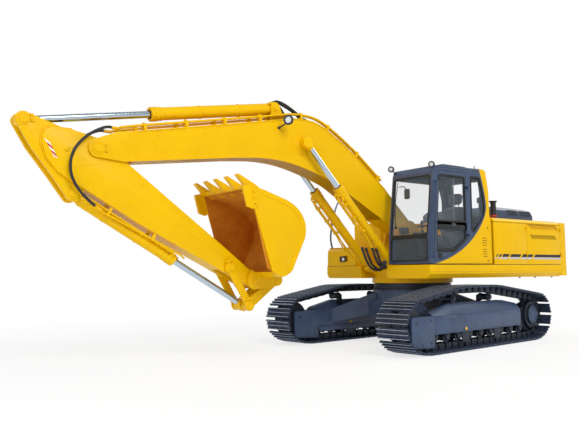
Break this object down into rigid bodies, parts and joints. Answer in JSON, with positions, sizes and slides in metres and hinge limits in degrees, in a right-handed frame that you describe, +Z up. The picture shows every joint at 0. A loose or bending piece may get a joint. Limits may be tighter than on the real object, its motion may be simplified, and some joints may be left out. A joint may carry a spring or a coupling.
{
  "type": "crawler excavator",
  "caption": "Crawler excavator with slewing upper structure, cab, boom, arm, bucket, hydraulic cylinders and tracks, for digging and loading.",
  "frame": {"origin": "on the ground under the middle of the machine's box", "axes": "+X forwards along the boom, +Y to the operator's left, +Z up"},
  "size_m": [10.3174, 3.6276, 4.035],
  "materials": {
    "yellow_paint": "gloss",
    "slate_paint": "satin",
    "undercarriage_paint": "satin",
    "chrome_rod": "polished",
    "glass": "clear",
    "black_iron": "matte",
    "seat_fabric": "woven",
    "console_plastic": "matte",
    "hose_rubber": "satin",
    "marking_film": "gloss",
    "lamp_lens": "clear"
  },
  "bodies": {
    "undercarriage": {"center_frame": "undercarriage_paint", "swing_bearing": "black_iron", "track_frame_left": "undercarriage_paint", "track_frame_right": "undercarriage_paint", "track_left": "undercarriage_paint", "track_right": "undercarriage_paint", "idler_left": "undercarriage_paint", "idler_right": "undercarriage_paint", "sprocket_left": "undercarriage_paint", "sprocket_right": "undercarriage_paint"},
    "upper_structure": {"upper_frame": "yellow_paint", "counterweight": "yellow_paint", "engine_block": "black_iron", "top_cover": "yellow_paint", "bay_bulkhead": "yellow_paint", "door_post": "yellow_paint", "hydraulic_tank": "yellow_paint", "fuel_tank": "yellow_paint", "tool_box": "yellow_paint", "exhaust_stack": "black_iron", "air_intake": "slate_paint", "right_handrail": "slate_paint", "cab_frame": "slate_paint", "cab_rear_shell": "yellow_paint", "quarter_glass": "glass", "right_glass": "glass", "windscreen_upper": "glass", "windscreen_lower": "glass", "operator_seat": "seat_fabric", "control_console": "console_plastic"},
    "cab_door": {"cab_door": "slate_paint", "door_glass": "glass", "door_lower_glass": "glass"},
    "boom": {"boom": "yellow_paint"},
    "arm": {"arm": "yellow_paint"},
    "bucket": {"bucket": "yellow_paint"},
    "rocker_links": {"rocker_links": "yellow_paint"},
    "bucket_link": {"bucket_link": "yellow_paint"},
    "arm_cylinder": {"arm_cylinder": "yellow_paint"},
    "arm_rod": {"arm_rod": "chrome_rod"},
    "bucket_cylinder": {"bucket_cylinder": "yellow_paint"},
    "bucket_rod": {"bucket_rod": "chrome_rod"},
    "boom_cylinder_left": {"boom_cylinder_left": "yellow_paint"},
    "boom_rod_left": {"boom_rod_left": "chrome_rod"},
    "boom_cylinder_right": {"boom_cylinder_right": "yellow_paint"},
    "boom_rod_right": {"boom_rod_right": "chrome_rod"},
    "left_front_door": {"left_front_door": "yellow_paint"},
    "left_rear_door": {"left_rear_door": "yellow_paint"},
    "right_rear_door": {"right_rear_door": "yellow_paint"},
    "engine_hood": {"engine_hood": "slate_paint"}
  },
  "joints": [
    {"name": "swing", "type": "hinge", "parent": "undercarriage", "child": "upper_structure", "pos_m": [-2.06118, -0.00004, 1.08], "axis": [0, 0, 1], "continuous": true},
    {"name": "boom_lift", "type": "hinge", "parent": "upper_structure", "child": "boom", "pos_m": [-1.79118, -0.00004, 2.05], "axis": [0, -1, 0], "range_deg": [-47, 47]},
    {"name": "arm_swing", "type": "hinge", "parent": "boom", "child": "arm", "pos_m": [4.11882, -0.00004, 2.955], "axis": [0, 1, 0], "range_deg": [-115, 0]},
    {"name": "bucket_curl", "type": "hinge", "parent": "arm", "child": "bucket", "pos_m": [1.62882, -0.00004, 1.155], "axis": [0, 1, 0], "range_deg": [-150, 5]},
    {"name": "boom_cylinder_left_tilt", "type": "hinge", "parent": "upper_structure", "child": "boom_cylinder_left", "pos_m": [-1.26118, 0.31496, 1.36], "axis": [0, -1, 0], "range_deg": [-46.78, 46.78]},
    {"name": "boom_cylinder_left_stroke", "type": "slide", "parent": "boom_cylinder_left", "child": "boom_rod_left", "axis": [0.6927, 0, 0.7212], "range_m": [-0.6374, 0.6374]},
    {"name": "boom_cylinder_right_tilt", "type": "hinge", "parent": "upper_structure", "child": "boom_cylinder_right", "pos_m": [-1.26118, -0.31504, 1.36], "axis": [0, -1, 0], "range_deg": [-46.78, 46.78]},
    {"name": "boom_cylinder_right_stroke", "type": "slide", "parent": "boom_cylinder_right", "child": "boom_rod_right", "axis": [0.6927, 0, 0.7212], "range_m": [-0.6374, 0.6374]},
    {"name": "arm_cylinder_tilt", "type": "hinge", "parent": "boom", "child": "arm_cylinder", "pos_m": [1.13882, -0.00004, 3.94], "axis": [0, 1, 0], "range_deg": [-4.4, 0.5]},
    {"name": "arm_cylinder_stroke", "type": "slide", "parent": "arm_cylinder", "child": "arm_rod", "axis": [0.9844, 0, -0.1758], "range_m": [-1.6458, 0.002]},
    {"name": "bucket_cylinder_tilt", "type": "hinge", "parent": "arm", "child": "bucket_cylinder", "pos_m": [4.39882, -0.00004, 2.33], "axis": [0, 1, 0], "range_deg": [-7.33, 0.73]},
    {"name": "bucket_cylinder_stroke", "type": "slide", "parent": "bucket_cylinder", "child": "bucket_rod", "axis": [-0.867, 0, -0.4982], "range_m": [-0.8705, 0.031]},
    {"name": "rocker_swing", "type": "hinge", "parent": "arm", "child": "rocker_links", "pos_m": [2.05882, -0.00004, 1.36], "axis": [0, 1, 0], "range_deg": [-88.61, 3.44]},
    {"name": "bucket_link_swing", "type": "hinge", "parent": "bucket", "child": "bucket_link", "pos_m": [1.20882, -0.00004, 1.17], "axis": [0, 1, 0], "range_deg": [-4.07, 107.55]},
    {"name": "cab_door_hinge", "type": "hinge", "parent": "upper_structure", "child": "cab_door", "pos_m": [-2.04118, 1.37496, 1.9], "axis": [0, 0, 1], "range_deg": [0, 170]},
    {"name": "left_front_door_hinge", "type": "hinge", "parent": "upper_structure", "child": "left_front_door", "pos_m": [-3.70118, 1.38996, 1.8], "axis": [0, 0, 1], "range_deg": [0, 100]},
    {"name": "left_rear_door_hinge", "type": "hinge", "parent": "upper_structure", "child": "left_rear_door", "pos_m": [-4.83118, 1.38996, 1.8], "axis": [0, 0, 1], "range_deg": [0, 100]},
    {"name": "right_rear_door_hinge", "type": "hinge", "parent": "upper_structure", "child": "right_rear_door", "pos_m": [-4.83118, -1.39004, 1.8], "axis": [0, 0, -1], "range_deg": [0, 100]},
    {"name": "engine_hood_hinge", "type": "hinge", "parent": "upper_structure", "child": "engine_hood", "pos_m": [-3.36118, -0.00004, 2.248], "axis": [0, 1, 0], "range_deg": [0, 60]}
  ],
  "couplings": [
    {"joint": "boom_cylinder_left_tilt", "follows": "boom_lift", "ratio": 0.98472},
    {"joint": "boom_cylinder_left_stroke", "follows": "boom_lift", "m_per_rad": 0.77461},
    {"joint": "boom_cylinder_right_tilt", "follows": "boom_lift", "ratio": 0.98472},
    {"joint": "boom_cylinder_right_stroke", "follows": "boom_lift", "m_per_rad": 0.77461},
    {"joint": "arm_cylinder_tilt", "follows": "arm_swing", "ratio": 0.033915},
    {"joint": "arm_cylinder_stroke", "follows": "arm_swing", "m_per_rad": 0.81897},
    {"joint": "bucket_cylinder_tilt", "follows": "bucket_curl", "ratio": 0.045549},
    {"joint": "bucket_cylinder_stroke", "follows": "bucket_curl", "m_per_rad": 0.33174},
    {"joint": "rocker_swing", "follows": "bucket_curl", "ratio": 0.58737},
    {"joint": "bucket_link_swing", "follows": "bucket_curl", "ratio": -0.71368}
  ]
}
